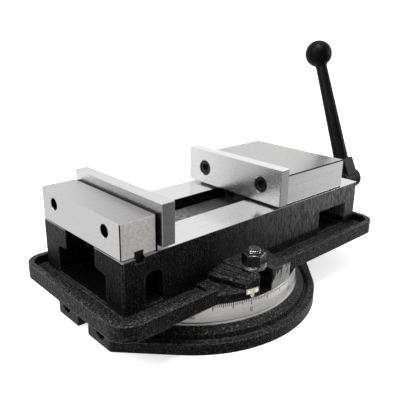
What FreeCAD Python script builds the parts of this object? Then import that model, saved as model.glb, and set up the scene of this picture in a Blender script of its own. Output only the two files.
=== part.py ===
import FreeCAD, Part
import math
import os

# Machine vise on a graduated swivel base. Millimetres, +Z up.
# Origin: the swivel axis on the plane the base stands on. +X points along the
# screw towards the crank, +Y to the far side of the vise.

V = FreeCAD.Vector
X_AXIS = V(1, 0, 0)
Y_AXIS = V(0, 1, 0)
Z_AXIS = V(0, 0, 1)

# ---- swivel base ----
BASE_R = 143.0            # round part of the base
EAR_X = 150.7             # end face of each ear
EAR_HALF_W = 50.0
EAR_CORNER_R = 6.0
BASE_RIM_Z = 12.0         # top of the raised rim
BASE_FLOOR_Z = 9.5        # gutter inside the rim
BASE_RIM_W = 6.5
EAR_SLOT_R = 10.0
EAR_SLOT_END_X = 134.0    # centre of the slot's round end
NOTCH_R = 8.25
NOTCH_Y = 33.0
NOTCH_Z = 14.0
NOTCH_DEPTH = 15.0
SHOULDER_R = 130.0
SHOULDER_Z = 15.0
LIP_R = 121.7             # machined lip at the ring's foot
LIP_Z0 = 19.6
LIP_Z1 = 21.0
RING_GROOVE_R = 118.4
RING_Z0 = 21.8
RING_R = 120.0
RING_Z1 = 40.6
T_SLOT_R = 101.1          # radius on which the clamp bolts run
T_SLOT_HALF_W = 8.2
T_SLOT_WIDE_HALF_W = 13.5
T_SLOT_Z0 = 17.0
T_SLOT_LEDGE_Z = 27.0
BOLT_ENTRY_HALF_W = 12.6  # square opening that lets a bolt head into the slot
PIVOT_R = 20.0
PIVOT_CLEARANCE = 0.06
PIVOT_Z0 = 13.0
PIVOT_BORE_Z0 = 12.0
KEYWAY_HALF_W = 8.0
KEYWAY_DEPTH = 5.0
KEYWAY_X0 = 62.0
KEYWAY_X1 = 118.0
KEY_SCREW_X = 90.0
KEY_SCREW_R = 3.4
KEY_SCREW_DEPTH = 10.0

# ---- bed ----
BED_X0 = -148.3
BED_X1 = 224.4
BED_HALF_W = 73.2
BED_TOP_Z = 102.0
BED_BOTTOM_Z = 40.9
WAY_SLOT_HALF_W = 27.5
TUNNEL_HALF_W = 45.0
TUNNEL_FLOOR_Z = 49.5
LEDGE_OUTER_Z = 79.0
LEDGE_INNER_Z = 81.3
END_WALL_X = 200.9        # inner face of the wall that carries the screw
WINDOW_X0 = 144.7
WINDOW_Z0 = 50.0
WINDOW_Z1 = 78.2
POCKET_DEPTH = 20.0
POCKET_X0 = -124.2        # arched pockets in the side walls under the fixed jaw
POCKET_X1 = -102.5
POCKET_Z1 = 84.0
POCKET_CORNER_R = 8.0

# ---- drip tray round the bed ----
TRAY_X0 = -172.5
TRAY_X1 = 232.0
TRAY_NEAR_Y = -104.0
TRAY_FAR_Y = 86.0
TRAY_Z1 = 57.0
TRAY_FLOOR_Z = 46.5
TRAY_RIM_W = 6.0
TRAY_CORNER_R = 22.0
COLLAR_RELIEF_HALF_W = 22.0
COLLAR_RELIEF_Z = 50.5

# ---- clamp lugs ----
LUG_TOP_Z = 64.5
LUG_PAD_Z = 50.5
LUG_PAD_X0 = -60.0        # the low pad starts here, where the tray's rim stops
LUG_X1 = 38.0
LUG_X1_INNER = 44.0
LUG_X1_TOP_Z = 58.5
LUG_FALL_X = 8.0          # the top falls from here to LUG_X1
LUG_INNER_Y = 72.0
LUG_FLANK_Y = 82.0        # the flank runs square to the bed inside this
LUG_STEPS = 4             # layers of the stepped flank
LUG_STEP_H = 2.2
LUG_FLANK_X = -23.3       # top layer's edge at LUG_FLANK_Y
LUG_FLANK_STEP = 7.1      # each lower layer reaches this much further there
LUG_FACE_X = -17.5        # top layer's edge at the lug's face
LUG_FACE_STEP = 5.0
CLAMP_X = -7.0
CLAMP_Y = 101.0
CLAMP_SLOT_HALF_W = 9.3
CLAMP_BOLT_R = 7.0
CLAMP_BOLT_TOP_Z = 84.6
T_HEAD_HALF_W = 11.5
T_HEAD_Z0 = 17.6
T_HEAD_Z1 = 26.7
WASHER_R = 14.0
WASHER_T = 2.6
NUT_AF = 22.0
NUT_H = 13.0

# ---- index plate on the near lug ----
POINTER_ANGLE = -102.3
POINTER_BAR_HALF_W = 7.0
POINTER_BAR_Z0 = 46.4
POINTER_BAR_Z1 = 51.6
POINTER_STEM_HALF_W = 2.0
POINTER_STEM_Z0 = 41.6
POINTER_T = 0.9
RIVET_R = 1.7
RIVET_SPACING = 9.4

# ---- jaws ----
SCREW_Y = 46.7            # jaw plate screws, from the middle
FIXED_JAW_X1 = -109.3
FIXED_CORE_X1 = -105.5
JAW_HALF_W = 71.5
FIXED_CORE_HALF_W = 69.0
FIXED_JAW_Z1 = 138.0
FIXED_SCREW_Z = 124.5
REAR_HOLE_R = 6.5
REAR_HOLE_X1 = -124.0
PLATE_HALF_W = 76.2
FIXED_PLATE_X0 = -105.4
FIXED_PLATE_X1 = -90.0
FIXED_PLATE_Z0 = 105.0
FIXED_PLATE_Z1 = 147.9
KEY_X0 = -134.0
KEY_X1 = -123.7
KEY_Z0 = 96.0
KEY_Z1 = 108.0
KEY_RECESS = 3.0
JAW_BOLT_X = -114.5
JAW_BOLT_Y = 36.0
JAW_BOLT_SEAT_Z = 83.0
JAW_BOLT_TOP_Z = 116.5    # the bolts end below the jaw plate's screws
JAW_TAP_TOP_Z = 118.0
JAW_BOLT_HEAD_SPACE_R = 10.0
M12_HEAD_H = 12.0

MOVING_PLATE_X0 = 61.1
MOVING_PLATE_X1 = 75.5
MOVING_PLATE_Z0 = 104.4
MOVING_PLATE_Z1 = 147.7
MOVING_JAW_X0 = 75.6
MOVING_JAW_X1 = 189.8
MOVING_JAW_Z0 = 102.1
MOVING_JAW_Z1 = 137.5
MOVING_SCREW_Z = 124.9
KEEL_HALF_W = 27.2
KEEL_X0 = 80.0
KEEL_X1 = 184.5
KEEL_Z0 = 84.0

COUNTERBORE_R = 9.75
COUNTERBORE_DEPTH = 10.0
M12_HEAD_R = 9.0
M12_HEAD_H = 8.8
M12_SOCKET_AF = 10.0
M12_R = 6.0
M12_TAP_R = 6.05
M12_CLEARANCE_R = 6.6

# ---- lock-down gear inside the moving jaw ----
SEGMENT_X = 126.0         # centre of the half ball
SEGMENT_Z = 104.0
SEGMENT_R = 13.0
SEGMENT_CLEARANCE = 0.06
LUG_POCKET_X0 = 104.0
LUG_POCKET_X1 = 172.0
LUG_POCKET_HALF_W = 20.5
LUG_POCKET_TOP_Z = 124.0
NUT_X0 = 122.0
NUT_X1 = 176.0
NUT_HALF_W = 38.0
NUT_Z0 = 50.2
NUT_Z1 = 78.4
NUT_LUG_X1 = 166.0
NUT_LUG_HALF_W = 20.0
NUT_LUG_TOP_Z = 122.0
SET_SCREW_Z = 112.0
SET_SCREW_R = 5.0

# ---- cover over the screw ----
GUARD_X0 = -27.0
GUARD_X1 = 79.6
GUARD_TOP_Z = 89.0
GUARD_T = 3.0
GUARD_HALF_W = 26.6
GUARD_SKIRT_Z0 = 80.5
GUARD_FLANGE_Z1 = 100.5
GUARD_SCREW_Y = 15.0
GUARD_SCREW_Z = 95.5
GUARD_SCREW_R = 2.5

# ---- lead screw ----
SCREW_Z = 70.0
THREAD_R = 12.0
THREAD_ROOT_R = 9.5
THREAD_PITCH = 5.0
THREAD_X0 = -76.0
THREAD_X1 = 182.0
FAR_JOURNAL_R = 9.0
FAR_JOURNAL_X0 = -104.0
SHOULDER_X0 = 184.0
SHOULDER_X1 = 192.0
SCREW_SHOULDER_R = 13.5
JOURNAL_R = 11.0
RUNNING = 0.05
HEX_X0 = 292.0
HEX_X1 = 333.0
HEX_AF = 19.0
BUSH_R = 16.0
BUSH_FLANGE_R = 20.0
BUSH_FLANGE_T = 3.0
BEARING_R = 19.0
COLLAR_R = 18.0
COLLAR_X0 = 228.0
COLLAR_X1 = 241.0
SUPPORT_X0 = -101.0
SUPPORT_X1 = -81.0
SUPPORT_HALF_W = 34.0
SUPPORT_TOP_Z = 79.6
SUPPORT_BOLT_Y = 24.0

# ---- crank ----
HUB_X0 = 297.0
HUB_X1 = 337.0
HUB_R = 15.0
BOSS_X0 = 305.0
BOSS_X1 = 331.0
BOSS_HALF_W = 14.0
BOSS_TOP = 32.0           # above the hub's axis, along the arm
ARM_ROOT_X = 316.0
BALL_CENTRE = V(345.0, 89.5, 252.4)
BALL_R = 20.6
ARM_R_ROOT = 11.6
ARM_R_BALL = 8.2


# ---- small gaps and edges shared by many pieces
PIN_PLAY = 0.05            # gap all round a pin or screw in its own hole
REST_GAP = 0.02            # gap under a head, washer or foot that rests on a face
OVERRUN = 1.0              # how far a cutter runs past the face it opens
BLOCK_EDGE = 0.8           # rounding on the jaw blocks
PLATE_EDGE = 0.7           # rounding on the jaw plates
PIVOT_SPIGOT_R = 16.0      # part of the pivot pin pressed into the bed
RIVET_STEM_R = RIVET_R * 0.6
FIXED_SCREW_LEN = 22.0
MOVING_SCREW_LEN = 26.0
# thrust bearing: start and end along the screw of each race and of the cage between them
BEARING_RACE_1 = (192.1, 194.9)
BEARING_CAGE = (195.0, 197.9)
BEARING_RACE_2 = (198.0, 200.8)
BEARING_CAGE_STEP = 1.5    # how much smaller in radius the cage is
# block under the screw's far end, with a low shoulder each side for its screws
SUPPORT_SHOULDER_Y = 16.0
SUPPORT_SHOULDER_Z = 62.0
SUPPORT_SCREW_R = 4.0
SUPPORT_SCREW_PLAY = 0.4
SUPPORT_SCREW_HEAD_R = 6.5
SUPPORT_SCREW_HEAD_H = 8.0
SUPPORT_SCREW_AF = 6.0
SUPPORT_SCREW_LEN = 20.0
SUPPORT_TAP_FLOOR = 0.6    # metal left under the tapped holes
GUARD_SCREW_HEAD_R = 4.25
GUARD_SCREW_HEAD_H = 3.0
GUARD_SCREW_AF = 3.0
GUARD_SCREW_LEN = 13.0
GUARD_SCREW_PLAY = 0.3
COLLAR_SCREW_R = 3.0
COLLAR_SCREW_LEN = 5.8
COLLAR_SCREW_AF = 3.0

def box(x0, x1, y0, y1, z0, z1):
    return Part.makeBox(x1 - x0, y1 - y0, z1 - z0, V(x0, y0, z0))


def cyl(radius, start, axis, length):
    return Part.makeCylinder(radius, length, start, axis)


def cyl_x(radius, x0, x1, y, z):
    return cyl(radius, V(x0, y, z), X_AXIS, x1 - x0)


def cyl_z(radius, z0, z1, x=0.0, y=0.0):
    return cyl(radius, V(x, y, z0), Z_AXIS, z1 - z0)


def union(shapes):
    whole = shapes[0]
    if len(shapes) > 1:
        whole = whole.fuse(shapes[1:])
    return whole.removeSplitter()


def prism(points, direction):
    """Solid swept from a closed polygon along a vector."""
    wire = Part.makePolygon(points + [points[0]])
    return Part.Face(wire).extrude(direction)


def turned(profile):
    """Solid of revolution about Z from (radius, z) corners."""
    corners = [V(r, 0, z) for r, z in profile]
    face = Part.Face(Part.makePolygon(corners + [corners[0]]))
    return face.revolve(V(0, 0, 0), Z_AXIS, 360)


def hex_prism(across_flats, start, axis, length):
    """Hexagonal prism with one corner line in the plane of X (or of Z when it lies along X)."""
    radius = across_flats / math.sqrt(3)
    sideways = Z_AXIS if abs(axis.x) > 0.5 else X_AXIS
    other = axis.cross(sideways)
    points = []
    for i in range(6):
        angle = math.radians(60 * i)
        points.append(start + sideways * (radius * math.cos(angle)) + other * (radius * math.sin(angle)))
    return prism(points, axis * length)


def rounded_plate(x0, x1, y0, y1, z0, z1, radius):
    """Plate with rounded upright corners."""
    plate = box(x0, x1, y0, y1, z0, z1)
    corners = [e for e in plate.Edges if abs(e.tangentAt(e.FirstParameter).z) > 0.99]
    return plate.makeFillet(radius, corners)


def eased(shape, size, keep):
    """Chamfer the straight edges for which keep(edge) is true."""
    edges = []
    for edge in shape.Edges:
        if isinstance(edge.Curve, Part.Line) and keep(edge):
            edges.append(edge)
    return shape.makeChamfer(size, edges)


def half_turn(shape):
    """The same shape on the other side of the swivel axis."""
    copy = shape.copy()
    copy.rotate(V(0, 0, 0), Z_AXIS, 180)
    return copy


def socket_screw(head_r, head_h, socket_af, shank_r, shank_len, seat, axis):
    """Socket cap screw; seat is under the head, axis points from the head to the tip."""
    head = cyl(head_r, seat - axis * head_h, axis, head_h)
    shank = cyl(shank_r, seat, axis, shank_len)
    socket = hex_prism(socket_af, seat - axis * head_h, axis, head_h * 0.55)
    return head.fuse(shank).removeSplitter().cut(socket)


# ------------------------------------------------------------------ base
def base_outline(radius, ear_x, ear_half_w, z0, z1, corner_r):
    """Round plate whose two ears run off it along straight tangents."""
    distance = math.hypot(ear_x, ear_half_w)
    ear_angle = math.atan2(ear_half_w, ear_x)
    tangent_angle = ear_angle + math.acos(radius / distance)
    tx = radius * math.cos(tangent_angle)
    ty = radius * math.sin(tangent_angle)
    points = [
        V(ear_x, -ear_half_w, z0),
        V(ear_x, ear_half_w, z0),
        V(tx, ty, z0),
        V(-tx, ty, z0),
        V(-ear_x, ear_half_w, z0),
        V(-ear_x, -ear_half_w, z0),
        V(-tx, -ty, z0),
        V(tx, -ty, z0),
    ]
    ears = prism(points, V(0, 0, z1 - z0))
    corners = []
    for edge in ears.Edges:
        upright = abs(edge.tangentAt(edge.FirstParameter).z) > 0.99
        if upright and abs(abs(edge.CenterOfMass.x) - ear_x) < 0.01:
            corners.append(edge)
    ears = ears.makeFillet(corner_r, corners)
    return union([ears, cyl_z(radius, z0, z1)])


def make_swivel_base():
    plate = base_outline(BASE_R, EAR_X, EAR_HALF_W, 0, BASE_RIM_Z, EAR_CORNER_R)
    gutter = base_outline(
        BASE_R - BASE_RIM_W,
        EAR_X - BASE_RIM_W,
        EAR_HALF_W - BASE_RIM_W,
        BASE_FLOOR_Z,
        BASE_RIM_Z + 1,
        2.0,
    )
    body = plate.cut(gutter)
    tower = turned(
        [
            (0, 1),
            (SHOULDER_R + 2, 1),
            (SHOULDER_R + 2, BASE_FLOOR_Z),
            (SHOULDER_R, SHOULDER_Z),
            (LIP_R, LIP_Z0),
            (LIP_R, LIP_Z1),
            (RING_GROOVE_R, LIP_Z1),
            (RING_GROOVE_R, RING_Z0),
            (RING_R, RING_Z0),
            (RING_R, RING_Z1 - 0.5),
            (RING_R - 0.5, RING_Z1),
            (0, RING_Z1),
        ]
    )
    body = union([body, tower])
    t_slot = turned(
        [
            (T_SLOT_R - T_SLOT_HALF_W, RING_Z1 + 1),
            (T_SLOT_R - T_SLOT_HALF_W, T_SLOT_LEDGE_Z),
            (T_SLOT_R - T_SLOT_WIDE_HALF_W, T_SLOT_LEDGE_Z),
            (T_SLOT_R - T_SLOT_WIDE_HALF_W, T_SLOT_Z0),
            (T_SLOT_R + T_SLOT_WIDE_HALF_W, T_SLOT_Z0),
            (T_SLOT_R + T_SLOT_WIDE_HALF_W, T_SLOT_LEDGE_Z),
            (T_SLOT_R + T_SLOT_HALF_W, T_SLOT_LEDGE_Z),
            (T_SLOT_R + T_SLOT_HALF_W, RING_Z1 + 1),
        ]
    )
    bolt_entry = box(
        T_SLOT_R - BOLT_ENTRY_HALF_W,
        T_SLOT_R + BOLT_ENTRY_HALF_W,
        -BOLT_ENTRY_HALF_W,
        BOLT_ENTRY_HALF_W,
        T_SLOT_Z0 + 1,
        RING_Z1 + 1,
    )
    pivot_bore = cyl_z(PIVOT_R + PIVOT_CLEARANCE, PIVOT_BORE_Z0, RING_Z1 + 1)
    body = body.cut([t_slot, bolt_entry, pivot_bore])

    cuts = []
    for side in (-1, 1):
        slot = cyl_z(EAR_SLOT_R, -1, BASE_RIM_Z + 4, side * EAR_SLOT_END_X, 0)
        ends = sorted((side * EAR_SLOT_END_X, side * (EAR_X + 5)))
        channel = box(ends[0], ends[1], -EAR_SLOT_R, EAR_SLOT_R, -1, BASE_RIM_Z + 4)
        cuts.append(slot.fuse(channel))
        for y in (-NOTCH_Y, NOTCH_Y):
            deep = sorted((side * (EAR_X - NOTCH_DEPTH), side * (EAR_X + 5)))
            cuts.append(cyl_x(NOTCH_R, deep[0], deep[1], y, NOTCH_Z))
        keyway = sorted((side * KEYWAY_X0, side * KEYWAY_X1))
        cuts.append(box(keyway[0], keyway[1], -KEYWAY_HALF_W, KEYWAY_HALF_W, -1, KEYWAY_DEPTH))
        cuts.append(cyl_z(KEY_SCREW_R, KEYWAY_DEPTH - 1, KEYWAY_DEPTH + KEY_SCREW_DEPTH, side * KEY_SCREW_X, 0))
    return body.cut(cuts)


def make_pivot_pin():
    pin = cyl_z(PIVOT_R, PIVOT_Z0, BED_BOTTOM_Z)
    spigot = cyl_z(PIVOT_SPIGOT_R, BED_BOTTOM_Z, TUNNEL_FLOOR_Z - 0.4)
    return union([pin, spigot])


# ------------------------------------------------------------------ bed
def make_tray():
    """Drip tray round the bed, wider on the near side, level with the bed's underside."""
    tray = rounded_plate(TRAY_X0, TRAY_X1, TRAY_NEAR_Y, TRAY_FAR_Y, BED_BOTTOM_Z, TRAY_Z1, TRAY_CORNER_R)
    trough = rounded_plate(
        TRAY_X0 + TRAY_RIM_W,
        TRAY_X1 - TRAY_RIM_W,
        TRAY_NEAR_Y + TRAY_RIM_W,
        TRAY_FAR_Y - TRAY_RIM_W,
        TRAY_FLOOR_Z,
        TRAY_Z1 + 1,
        TRAY_CORNER_R - TRAY_RIM_W,
    )
    tray = tray.cut(trough)
    # the rim stops at the low pad, and dips under the collar
    pad = box(LUG_PAD_X0, 0, -RING_R - 5, -LUG_INNER_Y, TRAY_FLOOR_Z, TRAY_Z1 + 1)
    relief = box(
        BED_X1, TRAY_X1 + 1, -COLLAR_RELIEF_HALF_W, COLLAR_RELIEF_HALF_W, COLLAR_RELIEF_Z, TRAY_Z1 + 1
    )
    return tray.cut([pad, half_turn(pad), relief])


def make_near_lug():
    """Lug on the near side, flush with the ring, with a stepped flank above a low pad."""
    disc = cyl_z(RING_R, BED_BOTTOM_Z, LUG_TOP_Z)
    reach = RING_R + 20
    layers = [box(LUG_PAD_X0, LUG_X1, -reach, -LUG_INNER_Y, BED_BOTTOM_Z, LUG_PAD_Z)]
    for i in range(LUG_STEPS):
        face_x = LUG_FACE_X - LUG_FACE_STEP * i
        flank_x = LUG_FLANK_X - LUG_FLANK_STEP * i
        points = [
            V(face_x, -reach, BED_BOTTOM_Z),
            V(LUG_X1, -reach, BED_BOTTOM_Z),
            V(LUG_X1, -LUG_FLANK_Y - 10, BED_BOTTOM_Z),
            V(LUG_X1_INNER, -LUG_INNER_Y, BED_BOTTOM_Z),
            V(flank_x, -LUG_INNER_Y, BED_BOTTOM_Z),
            V(flank_x, -LUG_FLANK_Y, BED_BOTTOM_Z),
            V(face_x, -RING_R + 4, BED_BOTTOM_Z),
        ]
        layers.append(prism(points, V(0, 0, LUG_TOP_Z - LUG_STEP_H * i - BED_BOTTOM_Z)))
    fall = [
        V(LUG_FALL_X, -reach, LUG_TOP_Z + 1),
        V(LUG_FALL_X, -reach, LUG_TOP_Z),
        V(LUG_X1, -reach, LUG_X1_TOP_Z),
        V(LUG_X1 + 10, -reach, LUG_X1_TOP_Z),
        V(LUG_X1 + 10, -reach, LUG_TOP_Z + 1),
    ]
    lug = union([layer.common(disc) for layer in layers])
    return lug.cut(prism(fall, V(0, reach, 0)))


def clamp_slot():
    round_end = cyl_z(CLAMP_SLOT_HALF_W, BED_BOTTOM_Z - 1, LUG_TOP_Z + 1, CLAMP_X, -CLAMP_Y)
    mouth = box(
        CLAMP_X - CLAMP_SLOT_HALF_W,
        CLAMP_X + CLAMP_SLOT_HALF_W,
        -RING_R - 5,
        -CLAMP_Y,
        BED_BOTTOM_Z - 1,
        LUG_TOP_Z + 1,
    )
    return round_end.fuse(mouth)


def make_tunnel():
    """Space below the ways, with the slot between them."""
    points = [
        V(BED_X0 - 1, -TUNNEL_HALF_W, TUNNEL_FLOOR_Z),
        V(BED_X0 - 1, TUNNEL_HALF_W, TUNNEL_FLOOR_Z),
        V(BED_X0 - 1, TUNNEL_HALF_W, LEDGE_OUTER_Z),
        V(BED_X0 - 1, WAY_SLOT_HALF_W, LEDGE_INNER_Z),
        V(BED_X0 - 1, WAY_SLOT_HALF_W, BED_TOP_Z + 1),
        V(BED_X0 - 1, -WAY_SLOT_HALF_W, BED_TOP_Z + 1),
        V(BED_X0 - 1, -WAY_SLOT_HALF_W, LEDGE_INNER_Z),
        V(BED_X0 - 1, -TUNNEL_HALF_W, LEDGE_OUTER_Z),
    ]
    return prism(points, V(END_WALL_X - BED_X0 + 1, 0, 0))


def make_small_pocket():
    """Arched pocket in the near side wall under the fixed jaw."""
    pocket = box(
        POCKET_X0, POCKET_X1, -BED_HALF_W - 1, -BED_HALF_W + POCKET_DEPTH, TUNNEL_FLOOR_Z + 0.5, POCKET_Z1
    )
    top_edges = []
    for edge in pocket.Edges:
        along_y = abs(edge.tangentAt(edge.FirstParameter).y) > 0.99
        if along_y and edge.CenterOfMass.z > POCKET_Z1 - 0.1:
            top_edges.append(edge)
    return pocket.makeFillet(POCKET_CORNER_R, top_edges)


def make_bed():
    block = box(BED_X0, BED_X1, -BED_HALF_W, BED_HALF_W, BED_BOTTOM_Z, BED_TOP_Z)
    near_lug = make_near_lug()
    bed = union([make_tray(), block, near_lug, half_turn(near_lug)])

    pocket = make_small_pocket()
    cuts = [make_tunnel(), pocket, pocket.mirror(V(0, 0, 0), V(0, 1, 0))]
    cuts += [clamp_slot(), half_turn(clamp_slot())]
    cuts.append(box(WINDOW_X0, END_WALL_X, -BED_HALF_W - 1, BED_HALF_W + 1, WINDOW_Z0, WINDOW_Z1))
    cuts.append(box(KEY_X0, KEY_X1, -BED_HALF_W - 1, BED_HALF_W + 1, KEY_Z0, BED_TOP_Z + 1))
    cuts.append(cyl_x(BUSH_R + PIN_PLAY, END_WALL_X - 1, BED_X1 + 1, 0, SCREW_Z))
    cuts.append(cyl_z(PIVOT_SPIGOT_R + PIN_PLAY, BED_BOTTOM_Z - 1, TUNNEL_FLOOR_Z + 1))
    for y in (-JAW_BOLT_Y, JAW_BOLT_Y):
        cuts.append(cyl_z(JAW_BOLT_HEAD_SPACE_R, LEDGE_OUTER_Z - 2, JAW_BOLT_SEAT_Z, JAW_BOLT_X, y))
        cuts.append(cyl_z(M12_CLEARANCE_R, JAW_BOLT_SEAT_Z - 1, BED_TOP_Z + 1, JAW_BOLT_X, y))
    for y in (-SUPPORT_BOLT_Y, SUPPORT_BOLT_Y):
        x = (SUPPORT_X0 + SUPPORT_X1) / 2
        tap_end = BED_BOTTOM_Z + SUPPORT_TAP_FLOOR
        cuts.append(cyl_z(SUPPORT_SCREW_R + PIN_PLAY, tap_end, TUNNEL_FLOOR_Z + OVERRUN, x, y))
    for dy in (-RIVET_SPACING / 2, RIVET_SPACING / 2):
        cuts.append(pointer_pin(RIVET_STEM_R + PIN_PLAY, RING_R - 6, RING_R + 2, dy))
    bed = bed.cut(cuts)

    def upright_end_edge(edge):
        point = edge.CenterOfMass
        upright = abs(edge.tangentAt(edge.FirstParameter).z) > 0.99
        at_end = min(abs(point.x - BED_X0), abs(point.x - BED_X1)) < 0.01
        return upright and at_end and abs(abs(point.y) - BED_HALF_W) < 0.01 and edge.Length > 40

    return eased(bed, 1.5, upright_end_edge)


def pointer_pin(radius, r0, r1, sideways):
    """Radial pin through the index plate, off its middle by a distance along the plate."""
    angle = math.radians(POINTER_ANGLE)
    radial = V(math.cos(angle), math.sin(angle), 0)
    along = V(-math.sin(angle), math.cos(angle), 0)
    z = (POINTER_BAR_Z0 + POINTER_BAR_Z1) / 2
    return cyl(radius, radial * r0 + along * sideways + V(0, 0, z), radial, r1 - r0)


def make_pointer_plate():
    """T shaped plate bent to the lug's arc."""
    shell = cyl_z(RING_R + 0.1 + POINTER_T, POINTER_STEM_Z0 - 5, POINTER_BAR_Z1 + 5)
    shell = shell.cut(cyl_z(RING_R + 0.1, POINTER_STEM_Z0 - 6, POINTER_BAR_Z1 + 6))
    reach = RING_R + 5
    bar = box(
        RING_R - 10, reach, -POINTER_BAR_HALF_W, POINTER_BAR_HALF_W, POINTER_BAR_Z0, POINTER_BAR_Z1
    )
    w = POINTER_STEM_HALF_W
    stem = prism(
        [
            V(RING_R - 10, -w, POINTER_BAR_Z0 + 1),
            V(RING_R - 10, w, POINTER_BAR_Z0 + 1),
            V(RING_R - 10, w, POINTER_STEM_Z0 + 2),
            V(RING_R - 10, 0.3, POINTER_STEM_Z0),
            V(RING_R - 10, -0.3, POINTER_STEM_Z0),
            V(RING_R - 10, -w, POINTER_STEM_Z0 + 2),
        ],
        V(15, 0, 0),
    )
    outline = union([bar, stem])
    outline.rotate(V(0, 0, 0), Z_AXIS, POINTER_ANGLE)
    plate = shell.common(outline)
    hole_r = RIVET_STEM_R + PIN_PLAY
    holes = [pointer_pin(hole_r, RING_R - 6, RING_R + 3, side * RIVET_SPACING / 2) for side in (-1, 1)]
    return plate.cut(holes)


def make_pointer_rivets():
    rivets = []
    for side in (-1, 1):
        offset = side * RIVET_SPACING / 2
        stem = pointer_pin(RIVET_STEM_R, RING_R - 5, RING_R + POINTER_T + 0.5, offset)
        head = pointer_pin(RIVET_R, RING_R + POINTER_T + 0.2, RING_R + POINTER_T + 1.0, offset)
        rivets.append(union([stem, head]))
    return Part.makeCompound(rivets)


# ------------------------------------------------------------------ swivel clamps
def both_sides(shape):
    return Part.makeCompound([shape, half_turn(shape)])


def make_t_bolts():
    head = box(
        CLAMP_X - T_HEAD_HALF_W,
        CLAMP_X + T_HEAD_HALF_W,
        -CLAMP_Y - T_HEAD_HALF_W,
        -CLAMP_Y + T_HEAD_HALF_W,
        T_HEAD_Z0,
        T_HEAD_Z1,
    )
    shank = cyl_z(CLAMP_BOLT_R, T_HEAD_Z1 - 1, CLAMP_BOLT_TOP_Z, CLAMP_X, -CLAMP_Y)
    bolt = union([head, shank])
    tip = [e for e in bolt.Edges if abs(e.CenterOfMass.z - CLAMP_BOLT_TOP_Z) < 0.01]
    return both_sides(bolt.makeChamfer(1.2, tip))


def make_clamp_washers():
    z0 = LUG_TOP_Z + REST_GAP
    washer = cyl_z(WASHER_R, z0, z0 + WASHER_T, CLAMP_X, -CLAMP_Y)
    washer = washer.cut(cyl_z(CLAMP_BOLT_R + 0.5, z0 - 1, z0 + WASHER_T + 1, CLAMP_X, -CLAMP_Y))
    return both_sides(washer)


def make_clamp_nuts():
    z0 = LUG_TOP_Z + WASHER_T + 0.04
    centre = V(CLAMP_X, -CLAMP_Y, z0)
    nut = hex_prism(NUT_AF, centre, Z_AXIS, NUT_H)
    nut.rotate(centre, Z_AXIS, 14)
    corner_r = NUT_AF / math.sqrt(3)
    crown = turned(
        [
            (0, 0),
            (corner_r - 1.5, 0),
            (corner_r + 0.2, 1.0),
            (corner_r + 0.2, NUT_H - 1.2),
            (corner_r - 1.9, NUT_H),
            (0, NUT_H),
        ]
    )
    crown.translate(centre)
    nut = nut.common(crown)
    return both_sides(nut.cut(cyl(CLAMP_BOLT_R + RUNNING, centre - Z_AXIS, Z_AXIS, NUT_H + 2)))


# ------------------------------------------------------------------ fixed jaw
def make_fixed_jaw():
    block = box(BED_X0, FIXED_JAW_X1, -JAW_HALF_W, JAW_HALF_W, BED_TOP_Z + 0.3, FIXED_JAW_Z1)
    block = eased(block, BLOCK_EDGE, lambda edge: True)
    core = box(
        FIXED_JAW_X1 - 5,
        FIXED_CORE_X1,
        -FIXED_CORE_HALF_W,
        FIXED_CORE_HALF_W,
        BED_TOP_Z + 0.3,
        FIXED_JAW_Z1 - 0.8,
    )
    jaw = union([block, core])
    cuts = [box(KEY_X0, KEY_X1, -JAW_HALF_W - 1, JAW_HALF_W + 1, BED_TOP_Z - 1, KEY_Z1)]
    for y in (-SCREW_Y, SCREW_Y):
        cuts.append(cyl_x(REAR_HOLE_R, BED_X0 - 1, REAR_HOLE_X1, y, FIXED_SCREW_Z))
        cuts.append(cyl_x(M12_TAP_R, REAR_HOLE_X1 - 1, FIXED_CORE_X1 + 1, y, FIXED_SCREW_Z))
    for y in (-JAW_BOLT_Y, JAW_BOLT_Y):
        cuts.append(cyl_z(M12_TAP_R, BED_TOP_Z - 1, JAW_TAP_TOP_Z, JAW_BOLT_X, y))
    return jaw.cut(cuts)


def make_jaw_key():
    key = box(
        KEY_X0 + REST_GAP,
        KEY_X1 - REST_GAP,
        -BED_HALF_W + KEY_RECESS,
        BED_HALF_W - KEY_RECESS,
        KEY_Z0 + REST_GAP,
        KEY_Z1 - 0.3,
    )
    return eased(key, 0.5, lambda edge: True)


def make_fixed_jaw_bolts():
    bolts = []
    for y in (-JAW_BOLT_Y, JAW_BOLT_Y):
        seat = V(JAW_BOLT_X, y, JAW_BOLT_SEAT_Z - REST_GAP)
        length = JAW_BOLT_TOP_Z - JAW_BOLT_SEAT_Z
        bolts.append(socket_screw(M12_HEAD_R, M12_HEAD_H, M12_SOCKET_AF, M12_R, length, seat, Z_AXIS))
    return Part.makeCompound(bolts)


def make_jaw_plate(x_back, x_face, z0, z1, screw_z):
    """Jaw plate with two counterbored screw holes in its working face."""
    x0, x1 = sorted((x_back, x_face))
    inward = 1 if x_back > x_face else -1
    plate = eased(box(x0, x1, -PLATE_HALF_W, PLATE_HALF_W, z0, z1), PLATE_EDGE, lambda edge: True)
    cuts = []
    for y in (-SCREW_Y, SCREW_Y):
        mouth = V(x_face - inward, y, screw_z)
        axis = V(inward, 0, 0)
        cuts.append(cyl(COUNTERBORE_R, mouth, axis, COUNTERBORE_DEPTH + 1))
        cuts.append(cyl(M12_CLEARANCE_R, mouth, axis, 20))
    return plate.cut(cuts)


def make_plate_screws(x_face, inward, screw_z, shank_len):
    screws = []
    for y in (-SCREW_Y, SCREW_Y):
        seat = V(x_face + inward * (COUNTERBORE_DEPTH - REST_GAP), y, screw_z)
        axis = V(inward, 0, 0)
        screws.append(
            socket_screw(M12_HEAD_R, M12_HEAD_H, M12_SOCKET_AF, M12_R, shank_len, seat, axis)
        )
    return Part.makeCompound(screws)


# ------------------------------------------------------------------ moving jaw
def segment_normal():
    return V(1, 0, 1).normalize()


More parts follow.
